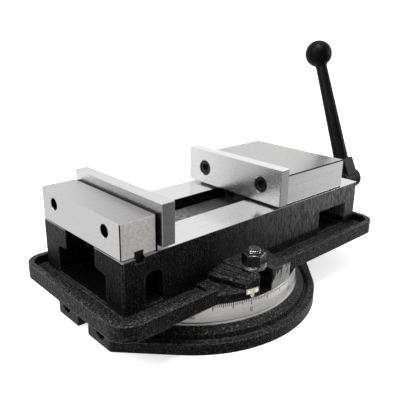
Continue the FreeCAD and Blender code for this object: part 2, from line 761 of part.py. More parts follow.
def half_space(offset):
    """Large block on the nut's side of the lock segment's flat face, moved off it by offset."""
    big = Part.makeBox(300, 300, 300, V(0, -150, -150))
    big.rotate(V(0, 0, 0), Y_AXIS, -45)
    centre = V(SEGMENT_X, 0, SEGMENT_Z)
    big.translate(centre + segment_normal() * offset)
    return big


def make_moving_jaw():
    block = box(MOVING_JAW_X0, MOVING_JAW_X1, -JAW_HALF_W, JAW_HALF_W, MOVING_JAW_Z0, MOVING_JAW_Z1)
    block = eased(block, BLOCK_EDGE, lambda edge: True)
    keel = box(KEEL_X0, KEEL_X1, -KEEL_HALF_W, KEEL_HALF_W, KEEL_Z0, MOVING_JAW_Z0 + 3)
    jaw = union([block, keel])
    pocket = box(
        LUG_POCKET_X0,
        LUG_POCKET_X1,
        -LUG_POCKET_HALF_W,
        LUG_POCKET_HALF_W,
        KEEL_Z0 - 1,
        LUG_POCKET_TOP_Z,
    )
    centre = V(SEGMENT_X, 0, SEGMENT_Z)
    cup = Part.makeSphere(SEGMENT_R + SEGMENT_CLEARANCE, centre)
    cuts = [pocket.common(half_space(0.3)), cup]
    cuts.append(cyl_x(SET_SCREW_R + PIN_PLAY, LUG_POCKET_X1 - 1, MOVING_JAW_X1 + 1, 0, SET_SCREW_Z))
    for y in (-SCREW_Y, SCREW_Y):
        cuts.append(cyl_x(M12_TAP_R, MOVING_JAW_X0 - 1, MOVING_JAW_X0 + 26, y, MOVING_SCREW_Z))
    for y in (-GUARD_SCREW_Y, GUARD_SCREW_Y):
        cuts.append(cyl_x(GUARD_SCREW_R + PIN_PLAY, KEEL_X0 - 1, KEEL_X0 + 12, y, GUARD_SCREW_Z))
    return jaw.cut(cuts)


def make_lock_segment():
    centre = V(SEGMENT_X, 0, SEGMENT_Z)
    ball = Part.makeSphere(SEGMENT_R, centre)
    return ball.cut(half_space(0.0))


def make_jaw_nut():
    block = box(NUT_X0, NUT_X1, -NUT_HALF_W, NUT_HALF_W, NUT_Z0, NUT_Z1)
    neck = box(KEEL_X1 - 45, NUT_LUG_X1, -NUT_LUG_HALF_W, NUT_LUG_HALF_W, NUT_Z1 - 2, KEEL_Z0 - 0.6)
    lug = box(LUG_POCKET_X0 + 4, NUT_LUG_X1, -NUT_LUG_HALF_W, NUT_LUG_HALF_W, NUT_Z1, NUT_LUG_TOP_Z)
    lug = lug.common(half_space(0.36))
    nut = union([block, neck, lug])
    return nut.cut(cyl_x(THREAD_R + RUNNING, NUT_X0 - 1, NUT_X1 + 1, 0, SCREW_Z))


def make_jaw_set_screw():
    start = V(NUT_LUG_X1 + PIN_PLAY, 0, SET_SCREW_Z)
    length = MOVING_JAW_X1 - 4 - start.x
    screw = cyl(SET_SCREW_R, start, X_AXIS, length)
    return screw.cut(hex_prism(5.0, start + X_AXIS * (length - 6), X_AXIS, 7))


def make_screw_guard():
    """Cover over the screw: a channel with a flange bolted to the jaw's keel."""
    outer = box(GUARD_X0, GUARD_X1, -GUARD_HALF_W, GUARD_HALF_W, GUARD_SKIRT_Z0, GUARD_TOP_Z)
    inner = box(
        GUARD_X0 - 1,
        GUARD_X1 + 1,
        -GUARD_HALF_W + GUARD_T,
        GUARD_HALF_W - GUARD_T,
        GUARD_SKIRT_Z0 - 1,
        GUARD_TOP_Z - GUARD_T,
    )
    flange = box(
        GUARD_X1 - GUARD_T,
        GUARD_X1,
        -GUARD_HALF_W,
        GUARD_HALF_W,
        GUARD_TOP_Z - GUARD_T,
        GUARD_FLANGE_Z1,
    )
    guard = union([outer.cut(inner), flange])
    holes = []
    for y in (-GUARD_SCREW_Y, GUARD_SCREW_Y):
        holes.append(cyl_x(GUARD_SCREW_R + GUARD_SCREW_PLAY, GUARD_X1 - 8, GUARD_X1 + 1, y, GUARD_SCREW_Z))
    return guard.cut(holes)


def make_guard_screws():
    screws = []
    for y in (-GUARD_SCREW_Y, GUARD_SCREW_Y):
        seat = V(GUARD_X1 - GUARD_T - REST_GAP, y, GUARD_SCREW_Z)
        screws.append(socket_screw(GUARD_SCREW_HEAD_R, GUARD_SCREW_HEAD_H, GUARD_SCREW_AF,
                                   GUARD_SCREW_R, GUARD_SCREW_LEN, seat, X_AXIS))
    return Part.makeCompound(screws)


# ------------------------------------------------------------------ screw and its bearings
def make_lead_screw():
    """Screw with a trapezoidal thread drawn as separate crests, journals and a hexagon end."""
    core = cyl_x(THREAD_ROOT_R, THREAD_X0, THREAD_X1, 0, SCREW_Z)
    pieces = [core]
    crest_half = THREAD_PITCH * 0.18
    root_half = THREAD_PITCH * 0.32
    turns = int((THREAD_X1 - THREAD_X0) / THREAD_PITCH)
    outline = [V(THREAD_X0, 0, 0)]
    for i in range(turns):
        x = THREAD_X0 + (i + 0.5) * THREAD_PITCH
        outline.append(V(x - root_half, 0, THREAD_ROOT_R))
        outline.append(V(x - crest_half, 0, THREAD_R))
        outline.append(V(x + crest_half, 0, THREAD_R))
        outline.append(V(x + root_half, 0, THREAD_ROOT_R))
    end_x = THREAD_X0 + turns * THREAD_PITCH
    outline.insert(1, V(THREAD_X0, 0, THREAD_ROOT_R))
    outline.append(V(end_x, 0, THREAD_ROOT_R))
    outline.append(V(end_x, 0, 0))
    face = Part.Face(Part.makePolygon(outline + [outline[0]]))
    thread = face.revolve(V(0, 0, 0), X_AXIS, 360)
    thread.translate(V(0, 0, SCREW_Z))
    pieces.append(thread)
    pieces.append(cyl_x(FAR_JOURNAL_R, FAR_JOURNAL_X0, THREAD_X0 + 1, 0, SCREW_Z))
    pieces.append(cyl_x(THREAD_ROOT_R, THREAD_X1 - 1, SHOULDER_X0 + 1, 0, SCREW_Z))
    pieces.append(cyl_x(SCREW_SHOULDER_R, SHOULDER_X0, SHOULDER_X1, 0, SCREW_Z))
    pieces.append(cyl_x(JOURNAL_R, SHOULDER_X1 - 1, HEX_X0, 0, SCREW_Z))
    pieces.append(hex_prism(HEX_AF, V(HEX_X0 - 1, 0, SCREW_Z), X_AXIS, HEX_X1 - HEX_X0 + 1))
    return union(pieces)


def make_screw_bush():
    barrel = cyl_x(BUSH_R, END_WALL_X + PIN_PLAY, BED_X1, 0, SCREW_Z)
    flange = cyl_x(BUSH_FLANGE_R, BED_X1 + REST_GAP, BED_X1 + BUSH_FLANGE_T, 0, SCREW_Z)
    bush = union([barrel, flange, cyl_x(BUSH_R, BED_X1 - 1, BED_X1 + 1, 0, SCREW_Z)])
    return bush.cut(cyl_x(JOURNAL_R + RUNNING, END_WALL_X - 1, BED_X1 + 5, 0, SCREW_Z))


def make_thrust_bearing():
    """Two races and the cage between them."""
    rings = []
    bore = JOURNAL_R + RUNNING
    cage_r = BEARING_R - BEARING_CAGE_STEP
    stack = ((BEARING_RACE_1, BEARING_R), (BEARING_CAGE, cage_r), (BEARING_RACE_2, BEARING_R))
    for (x0, x1), radius in stack:
        ring = cyl_x(radius, x0, x1, 0, SCREW_Z)
        rings.append(ring.cut(cyl_x(bore, x0 - 1, x1 + 1, 0, SCREW_Z)))
    return Part.makeCompound(rings)


def make_screw_support():
    block = box(SUPPORT_X0, SUPPORT_X1, -SUPPORT_HALF_W, SUPPORT_HALF_W, TUNNEL_FLOOR_Z + REST_GAP, SUPPORT_TOP_Z)
    for side in (-1, 1):
        y0, y1 = sorted((side * SUPPORT_SHOULDER_Y, side * (SUPPORT_HALF_W + OVERRUN)))
        low = box(SUPPORT_X0 - OVERRUN, SUPPORT_X1 + OVERRUN, y0, y1,
                  SUPPORT_SHOULDER_Z, SUPPORT_TOP_Z + OVERRUN)
        block = block.cut(low)
    cuts = [cyl_x(FAR_JOURNAL_R + RUNNING, SUPPORT_X0 - 1, SUPPORT_X1 + 1, 0, SCREW_Z)]
    for y in (-SUPPORT_BOLT_Y, SUPPORT_BOLT_Y):
        x = (SUPPORT_X0 + SUPPORT_X1) / 2
        hole_r = SUPPORT_SCREW_R + SUPPORT_SCREW_PLAY
        cuts.append(cyl_z(hole_r, TUNNEL_FLOOR_Z - OVERRUN, SUPPORT_SHOULDER_Z + OVERRUN, x, y))
    return block.cut(cuts)


def make_screw_support_screws():
    screws = []
    for y in (-SUPPORT_BOLT_Y, SUPPORT_BOLT_Y):
        seat = V((SUPPORT_X0 + SUPPORT_X1) / 2, y, SUPPORT_SHOULDER_Z + REST_GAP)
        screws.append(socket_screw(SUPPORT_SCREW_HEAD_R, SUPPORT_SCREW_HEAD_H, SUPPORT_SCREW_AF,
                                   SUPPORT_SCREW_R, SUPPORT_SCREW_LEN, seat, V(0, 0, -1)))
    return Part.makeCompound(screws)


def make_lock_collar():
    collar = cyl_x(COLLAR_R, COLLAR_X0, COLLAR_X1, 0, SCREW_Z)
    rims = [e for e in collar.Edges if isinstance(e.Curve, Part.Circle)]
    collar = collar.makeChamfer(1.0, rims)
    x = (COLLAR_X0 + COLLAR_X1) / 2
    cuts = [cyl_x(JOURNAL_R + PIN_PLAY, COLLAR_X0 - 1, COLLAR_X1 + 1, 0, SCREW_Z)]
    cuts.append(cyl_z(COLLAR_SCREW_R + PIN_PLAY, SCREW_Z, SCREW_Z + COLLAR_R + OVERRUN, x, 0))
    return collar.cut(cuts)


def make_collar_screw():
    x = (COLLAR_X0 + COLLAR_X1) / 2
    start = V(x, 0, SCREW_Z + JOURNAL_R + PIN_PLAY)
    screw = cyl(COLLAR_SCREW_R, start, Z_AXIS, COLLAR_SCREW_LEN)
    socket = start + Z_AXIS * COLLAR_SCREW_LEN / 2
    return screw.cut(hex_prism(COLLAR_SCREW_AF, socket, Z_AXIS, COLLAR_SCREW_LEN))


# ------------------------------------------------------------------ crank
def make_crank_handle():
    """One casting: hub with a hexagon bore, square boss, tapered arm and ball."""
    hub = cyl_x(HUB_R, HUB_X0, HUB_X1, 0, SCREW_Z)
    ends = [e for e in hub.Edges if isinstance(e.Curve, Part.Circle)]
    hub = hub.makeChamfer(1.5, ends)

    root = V(ARM_ROOT_X, 0, SCREW_Z)
    along = BALL_CENTRE - root
    reach = along.Length
    direction = V(along.x, along.y, along.z).normalize()
    lean = math.degrees(math.atan2(along.y, along.z))

    boss = box(BOSS_X0, BOSS_X1, -BOSS_HALF_W, BOSS_HALF_W, SCREW_Z - 4, SCREW_Z + BOSS_TOP)
    boss_edges = []
    for edge in boss.Edges:
        upright = abs(edge.tangentAt(edge.FirstParameter).z) > 0.99
        if upright or edge.CenterOfMass.z > SCREW_Z + BOSS_TOP - 0.1:
            boss_edges.append(edge)
    boss = boss.makeFillet(1.8, boss_edges)
    boss.rotate(V(0, 0, SCREW_Z), X_AXIS, -lean)

    arm = Part.makeCone(ARM_R_ROOT, ARM_R_BALL, reach - 8, root + direction * 4, direction)
    neck_len = 12.0
    neck_start = BALL_CENTRE - direction * (BALL_R + neck_len * 0.35)
    neck = Part.makeCone(ARM_R_BALL, ARM_R_BALL + 2.2, neck_len, neck_start, direction)
    ball = Part.makeSphere(BALL_R, BALL_CENTRE)
    crank = union([hub, boss, arm, neck, ball])
    bore = hex_prism(HEX_AF + 0.2, V(HUB_X0 - 1, 0, SCREW_Z), X_AXIS, HUB_X1 - HUB_X0 + 2)
    return crank.cut(bore)


NODES = {
    "swivel_base": make_swivel_base,
    "bed": make_bed,
    "pivot_pin": make_pivot_pin,
    "pointer_plate": make_pointer_plate,
    "pointer_rivets": make_pointer_rivets,
    "t_bolts": make_t_bolts,
    "clamp_washers": make_clamp_washers,
    "clamp_nuts": make_clamp_nuts,
    "fixed_jaw": make_fixed_jaw,
    "jaw_key": make_jaw_key,
    "fixed_jaw_bolts": make_fixed_jaw_bolts,
    "fixed_jaw_plate": lambda: make_jaw_plate(
        FIXED_PLATE_X0, FIXED_PLATE_X1, FIXED_PLATE_Z0, FIXED_PLATE_Z1, FIXED_SCREW_Z
    ),
    "fixed_jaw_screws": lambda: make_plate_screws(FIXED_PLATE_X1, -1, FIXED_SCREW_Z, FIXED_SCREW_LEN),
    "screw_bush": make_screw_bush,
    "thrust_bearing": make_thrust_bearing,
    "screw_support": make_screw_support,
    "screw_support_screws": make_screw_support_screws,
    "lead_screw": make_lead_screw,
    "lock_collar": make_lock_collar,
    "collar_screw": make_collar_screw,
    "crank_handle": make_crank_handle,
    "moving_jaw": make_moving_jaw,
    "moving_jaw_plate": lambda: make_jaw_plate(
        MOVING_PLATE_X1, MOVING_PLATE_X0, MOVING_PLATE_Z0, MOVING_PLATE_Z1, MOVING_SCREW_Z
    ),
    "moving_jaw_screws": lambda: make_plate_screws(MOVING_PLATE_X0, 1, MOVING_SCREW_Z, MOVING_SCREW_LEN),
    "jaw_nut": make_jaw_nut,
    "lock_segment": make_lock_segment,
    "jaw_set_screw": make_jaw_set_screw,
    "screw_guard": make_screw_guard,
    "guard_screws": make_guard_screws,
}

os.makedirs("parts", exist_ok=True)
for name, make in NODES.items():
    shape = make()
    if not shape.isValid():
        raise RuntimeError(name + " is not a valid shape")
    shape.exportStep("parts/" + name + ".step")
    limits = shape.BoundBox
    print(name, len(shape.Solids), round(shape.Volume / 1000, 1), "cm3",
          [round(v, 1) for v in (limits.XMin, limits.XMax, limits.YMin, limits.YMax, limits.ZMin, limits.ZMax)])
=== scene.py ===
import math

import bmesh
import bpy
from mathutils import Matrix, Vector


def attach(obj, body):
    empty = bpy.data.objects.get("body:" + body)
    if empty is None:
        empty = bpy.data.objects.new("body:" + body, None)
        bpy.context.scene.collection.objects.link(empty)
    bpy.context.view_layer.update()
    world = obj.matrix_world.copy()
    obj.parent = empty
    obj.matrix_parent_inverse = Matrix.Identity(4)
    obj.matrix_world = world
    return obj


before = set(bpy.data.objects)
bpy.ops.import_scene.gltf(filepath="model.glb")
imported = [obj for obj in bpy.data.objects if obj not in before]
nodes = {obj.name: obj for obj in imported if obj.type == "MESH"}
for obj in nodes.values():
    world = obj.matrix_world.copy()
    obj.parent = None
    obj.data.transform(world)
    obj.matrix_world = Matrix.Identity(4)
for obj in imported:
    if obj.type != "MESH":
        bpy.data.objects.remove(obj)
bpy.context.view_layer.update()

# Places and sizes in metres, in the frame's own axes: +X towards the crank, +Z up,
# origin on the swivel axis where the base stands.
BED_TOP = 0.1020
RING_R = 0.1200
LIP_Z0 = 0.0197
LIP_Z1 = 0.0210
RING_FOOT_Z = 0.0218
RING_TOP_Z = 0.0406
LUG_BARE_TOP_Z = 0.0625
LUG_BARE_X1 = 0.039
REBATE_X = -0.1092
FIXED_JAW_X0 = -0.1483
FIXED_JAW_TOP = 0.1380
REAR_HOLES_HALF_W = 0.0600
JAW_HALF_W = 0.0715
JAW_SIDE_STRIP_Z = 0.1006
MOVING_JAW_TOP = 0.1375
MOVING_JAW_FOOT = 0.1021
PLATE_TOP = 0.1477
POINTER_ANGLE = math.radians(-102.3)
FLANK_Y = 0.0735
BED_X0 = -0.1483
TUNNEL_HALF_W = 0.0432
TRAY_RIM_Z = 0.0575
PAINTED_SHEEN_X = (-0.04, 0.12)
GUARD_SHADOW_X = (-0.06, 0.03)
# degree lines: step in degrees, length in metres, half width in degrees
TICKS = ((1.0, 0.0034, 0.20), (5.0, 0.0044, 0.22), (10.0, 0.0068, 0.25))


# ------------------------------------------------------------------ node helpers
class Shader:
    """A material being built: small helpers round its node tree."""

    def __init__(self, name):
        self.material = bpy.data.materials.new(name)
        self.material.use_nodes = True
        self.tree = self.material.node_tree
        self.tree.nodes.clear()
        self.output = self.tree.nodes.new("ShaderNodeOutputMaterial")
        self.surface = self.tree.nodes.new("ShaderNodeBsdfPrincipled")
        self.tree.links.new(self.surface.outputs[0], self.output.inputs[0])
        self.place = self.tree.nodes.new("ShaderNodeTexCoord").outputs["Object"]

    def node(self, kind, **settings):
        made = self.tree.nodes.new(kind)
        for key, value in settings.items():
            setattr(made, key, value)
        return made

    def link(self, source, target):
        self.tree.links.new(source, target)

    def feed(self, value, socket):
        """Sets a socket to a constant, or links another socket to it."""
        if isinstance(value, bpy.types.NodeSocket):
            self.link(value, socket)
        else:
            socket.default_value = value

    def math(self, operation, a, b=0.0, c=0.0, clamp=False):
        made = self.node("ShaderNodeMath", operation=operation, use_clamp=clamp)
        self.feed(a, made.inputs[0])
        self.feed(b, made.inputs[1])
        self.feed(c, made.inputs[2])
        return made.outputs[0]

    def stretched(self, scale, offset=(0.0, 0.0, 0.0)):
        made = self.node("ShaderNodeMapping")
        self.link(self.place, made.inputs["Vector"])
        made.inputs["Scale"].default_value = scale
        made.inputs["Location"].default_value = offset
        return made.outputs[0]

    def noise(self, scale, detail=3.0, rough=0.55, vector=None, distortion=0.0):
        made = self.node("ShaderNodeTexNoise")
        self.link(vector or self.place, made.inputs["Vector"])
        made.inputs["Scale"].default_value = scale
        made.inputs["Detail"].default_value = detail
        made.inputs["Roughness"].default_value = rough
        made.inputs["Distortion"].default_value = distortion
        return made.outputs["Fac"]

    def remap(self, value, low, high, to_low=0.0, to_high=1.0):
        made = self.node("ShaderNodeMapRange")
        self.feed(value, made.inputs["Value"])
        made.inputs["From Min"].default_value = low
        made.inputs["From Max"].default_value = high
        made.inputs["To Min"].default_value = to_low
        made.inputs["To Max"].default_value = to_high
        return made.outputs[0]

    def mix(self, factor, a, b):
        made = self.node("ShaderNodeMix", data_type="RGBA")
        self.feed(factor, made.inputs["Factor"])
        self.feed(a, made.inputs[6])
        self.feed(b, made.inputs[7])
        return made.outputs[2]

    def blend(self, factor, a, b):
        made = self.node("ShaderNodeMix", data_type="FLOAT")
        self.feed(factor, made.inputs["Factor"])
        self.feed(a, made.inputs[2])
        self.feed(b, made.inputs[3])
        return made.outputs[0]

    def pick(self, factor, a, b):
        made = self.node("ShaderNodeMix", data_type="VECTOR")
        self.feed(factor, made.inputs["Factor"])
        self.feed(a, made.inputs[4])
        self.feed(b, made.inputs[5])
        return made.outputs[1]

    def axes(self):
        made = self.node("ShaderNodeSeparateXYZ")
        self.link(self.place, made.inputs[0])
        return made.outputs[0], made.outputs[1], made.outputs[2]

    def facing_up(self):
        """One where the surface looks straight up, nought where it stands upright."""
        made = self.node("ShaderNodeSeparateXYZ")
        self.link(self.tree.nodes.new("ShaderNodeTexCoord").outputs["Normal"], made.inputs[0])
        return made.outputs[2]

    def bump(self, height, distance, strength=1.0, under=None):
        made = self.node("ShaderNodeBump")
        self.link(height, made.inputs["Height"])
        made.inputs["Distance"].default_value = distance
        made.inputs["Strength"].default_value = strength
        if under is not None:
            self.link(under, made.inputs["Normal"])
        return made.outputs[0]

    def rounded_edges(self, radius):
        made = self.node("ShaderNodeBevel", samples=4)
        made.inputs["Radius"].default_value = radius
        return made.outputs[0]

    def edge_mask(self, rounded):
        """One along the edges, where the rounded normal leaves the flat one, and nought elsewhere."""
        made = self.node("ShaderNodeVectorMath", operation="DOT_PRODUCT")
        self.link(rounded, made.inputs[0])
        self.link(self.tree.nodes.new("ShaderNodeNewGeometry").outputs["True Normal"], made.inputs[1])
        return self.remap(made.outputs["Value"], 0.985, 0.85)

    def set(self, **values):
        names = {"color": "Base Color", "metallic": "Metallic", "rough": "Roughness",
                 "normal": "Normal", "specular": "Specular IOR Level"}
        for key, value in values.items():
            self.feed(value, self.surface.inputs[names[key]])


def grey(value, warm=0.0):
    return (value * (1.0 + warm), value, value * (1.0 - warm), 1.0)


# ------------------------------------------------------------------ materials
def paint_layers(shader, upward_highlight=1.0, edge_radius=0.0018):
    """Wrinkle paint over a rough casting: a nearly black ground whose wrinkle crests carry painted
    highlights, stronger on faces turned up, with painted glints along the edges.
    """
    wrinkle = shader.noise(560.0, 1.0, 0.5, distortion=0.3)
    lumps = shader.noise(120.0, 3.0, 0.55, distortion=0.5)
    swell = shader.noise(30.0, 2.0, 0.5)
    edges = shader.rounded_edges(edge_radius)
    normal = shader.bump(swell, 0.0020, 0.6, edges)
    normal = shader.bump(lumps, 0.0018, 0.9, normal)
    normal = shader.bump(wrinkle, 0.0020, 1.0, normal)
    # Painted highlights: the wrinkle crests are painted lighter, the more so where the face turns up.
    crest_highlight = both(shader, shader.remap(wrinkle, 0.54, 0.66), shader.remap(lumps, 0.36, 0.60, 0.5, 1.0))
    crest_highlight = both(shader, crest_highlight, shader.remap(shader.facing_up(), 0.3, 0.8, 0.22, upward_highlight))
    # Painted glints: lighter flecks painted along the edges.
    glint = both(shader, shader.edge_mask(edges), shader.remap(wrinkle, 0.40, 0.60, 0.15, 1.0))
    crest_highlight = shader.math("MAXIMUM", crest_highlight, glint)
    return {
        "color": shader.mix(crest_highlight, grey(0.0005), grey(0.115, -0.01)),
        "rough": shader.blend(crest_highlight, 0.40, 0.26),
        "specular": shader.blend(crest_highlight, 0.14, 0.6),
        "normal": normal,
    }


def smooth_black():
    """Black enamel on the crank."""
    shader = Shader("black_crank_enamel")
    lumps = shader.noise(160.0, 3.0, 0.55)
    fine = shader.noise(900.0, 3.0, 0.6)
    edges = shader.rounded_edges(0.0012)
    normal = shader.bump(lumps, 0.0006, 0.45, edges)
    normal = shader.bump(fine, 0.00012, 0.5, normal)
    color = shader.mix(shader.remap(lumps, 0.3, 0.7), grey(0.0008), grey(0.003))
    shader.set(color=color, rough=shader.remap(fine, 0.3, 0.7, 0.30, 0.46), normal=normal, specular=0.07)
    return shader.material


def ground_marks(shader, along):
    """Fine parallel scratches of a surface grinder, running along one axis."""
    scale = [9000.0, 9000.0, 9000.0]
    scale[along] = 70.0
    lines = shader.noise(1.0, 2.0, 0.6, shader.stretched(scale))
    broad = [1600.0, 1600.0, 1600.0]
    broad[along] = 14.0
    bands = shader.noise(1.0, 2.0, 0.5, shader.stretched(broad))
    return lines, bands


def plate_steel():
    """Surface-ground jaw plates with grinding marks and faint stains, painted lighter towards the far side
    as painted light, and a smoother top edge painted brighter, more so towards +X, as a painted highlight.
    """
    shader = Shader("ground_jaw_plates")
    lines, bands = ground_marks(shader, 1)
    stain = shader.noise(16.0, 3.0, 0.5)
    x, y, z = shader.axes()
    top = shader.math("GREATER_THAN", z, PLATE_TOP - 0.0006)
    normal = shader.bump(lines, 0.000012, 0.6, shader.rounded_edges(0.0005))
    normal = shader.bump(bands, 0.00002, 0.4, normal)
    # Painted light: the plates are painted lighter towards the far side.
    shade = shader.mix(shader.remap(y, -0.01, 0.065), grey(0.58), grey(0.88))
    shade = shader.mix(shader.remap(stain, 0.35, 0.65, 0.0, 0.12), shade, grey(0.40))
    shade = shader.mix(shader.remap(bands, 0.3, 0.7, 0.0, 0.25), shade, grey(0.50))
    # Painted highlight: the top edge is painted lighter, more so towards +X.
    shade = shader.mix(top, shade, shader.mix(shader.remap(x, -0.09, 0.03), grey(0.80), grey(0.97)))
    rough = shader.blend(top, shader.remap(lines, 0.3, 0.7, 0.20, 0.32), 0.16)
    shader.set(color=shade, metallic=1.0, rough=rough, normal=normal)
    return shader.material


def moving_jaw_steel():
    """Ground block whose flanks are painted lighter than its top as painted light, with dark lines painted
    along the flanks' top and bottom edges and its keel down in the slot painted nearly black, all as
    painted shade.
    """
    shader = Shader("moving_jaw_steel")
    lines, bands = ground_marks(shader, 0)
    y, z = shader.axes()[1:]
    flank = shader.math("GREATER_THAN", shader.math("ABSOLUTE", y), JAW_HALF_W - 0.0012)
    # Painted shade: dark lines painted along the flanks' top and bottom edges.
    edge_shade = shader.math("MAXIMUM", shader.math("GREATER_THAN", z, MOVING_JAW_TOP - 0.0012),
                       shader.math("LESS_THAN", z, MOVING_JAW_FOOT + 0.0010))
    edge_shade = both(shader, flank, edge_shade)
    # Painted shade: the keel down in the slot is painted nearly black.
    keel = shader.math("LESS_THAN", z, BED_TOP - 0.0002)
    dark = shader.math("MAXIMUM", edge_shade, keel)
    shade = shader.mix(shader.remap(bands, 0.3, 0.7), grey(0.62, 0.004), grey(0.57, 0.004))
    # Painted light: the flanks are painted lighter than the top.
    shade = shader.mix(flank, shade, shader.mix(shader.remap(bands, 0.3, 0.7), grey(0.86), grey(0.74)))
    normal = shader.bump(lines, 0.000010, 0.6, shader.rounded_edges(0.0003))
    rough = shader.blend(dark, shader.remap(lines, 0.3, 0.7, 0.22, 0.32), 0.6)
    shader.set(color=shader.mix(dark, shade, grey(0.008)), metallic=1.0, rough=rough, normal=normal)
    return shader.material


def rebate_of(shader, x):
    return shader.math("GREATER_THAN", x, REBATE_X)


def fixed_jaw_steel():
    """Ground block with a brownish unpolished flank; its top is painted darker and drifts in brightness as
    painted light, the rebate behind its plate and the holes in its back are painted nearly black as painted
    shade, and its rear corner edge dark as a painted reflection.
    """
    shader = Shader("fixed_jaw_steel")
    lines = ground_marks(shader, 1)[0]
    cloud = shader.noise(320.0, 4.0, 0.75)
    x, y, z = shader.axes()
    top = shader.math("GREATER_THAN", z, FIXED_JAW_TOP - 0.0004)
    flank = shader.math("GREATER_THAN", shader.math("ABSOLUTE", y), JAW_HALF_W - 0.0003)
    # Painted reflection: the rear corner edge is painted dark.
    corner_reflection = both(shader, shader.math("GREATER_THAN", shader.math("ABSOLUTE", y), JAW_HALF_W - 0.0011),
                  shader.math("LESS_THAN", x, FIXED_JAW_X0 + 0.0008))
    # Painted shade: the holes in the back are painted nearly black.
    hole_shade = both(shader, shader.math("GREATER_THAN", x, FIXED_JAW_X0 + 0.0004),
                shader.math("LESS_THAN", shader.math("ABSOLUTE", y), REAR_HOLES_HALF_W))
    hole_shade = both(shader, hole_shade, shader.math("LESS_THAN", z, FIXED_JAW_TOP - 0.0015))
    # Painted shade: the rebate behind the plate is painted nearly black as well.
    dark = shader.math("MAXIMUM", shader.math("MAXIMUM", rebate_of(shader, x), corner_reflection), hole_shade)
    # Painted light: the top is painted darker, drifting in brightness across it.
    painted_drift = shader.remap(shader.math("ADD", y, shader.math("MULTIPLY", x, -2.0)), 0.16, 0.32, 0.36, 0.62)
    painted_drift_color = shader.node("ShaderNodeCombineColor")
    for socket in painted_drift_color.inputs[:3]:
        shader.feed(painted_drift, socket)
    color = shader.mix(top, grey(0.64), painted_drift_color.outputs[0])
    brown = shader.mix(shader.remap(cloud, 0.3, 0.7), grey(0.26, 0.06), grey(0.46, 0.035))
    color = shader.mix(flank, color, brown)
    color = shader.mix(dark, color, grey(0.010))
    metal = shader.blend(flank, 1.0, 0.25)
    normal = shader.bump(lines, 0.000012, 0.6, shader.rounded_edges(0.0007))
    rough = shader.blend(dark, shader.blend(flank, shader.remap(lines, 0.3, 0.7, 0.2, 0.32), 0.5), 0.6)
    shader.set(color=color, metallic=metal, rough=rough, normal=normal)
    return shader.material


def layered(shader, mask, under, over):
    """Sets colour, roughness, metal and normal to one finish or another by a mask."""
    shader.set(
        color=shader.mix(mask, under["color"], over["color"]),
        metallic=shader.blend(mask, 0.0, over.get("metallic", 1.0)),
        rough=shader.blend(mask, under["rough"], over["rough"]),
        normal=shader.pick(mask, under["normal"], over["normal"]),
        specular=shader.blend(mask, under["specular"], 0.5),
    )


def both(shader, first, second):
    return shader.math("MULTIPLY", first, second)


def bare_iron(shader):
    """Machined but uncoated cast iron."""
    grain = shader.noise(1500.0, 3.0, 0.6)
    cloud = shader.noise(140.0, 3.0, 0.6)
    color = shader.mix(shader.remap(cloud, 0.3, 0.7), grey(0.16, 0.01), grey(0.30, 0.01))
    normal = shader.bump(grain, 0.00012, 0.7)
    return {"color": color, "rough": shader.remap(grain, 0.3, 0.7, 0.42, 0.58), "normal": normal}


def radius_of(shader, x, y):
    return shader.math("SQRT", shader.math("ADD", both(shader, x, x), both(shader, y, y)))


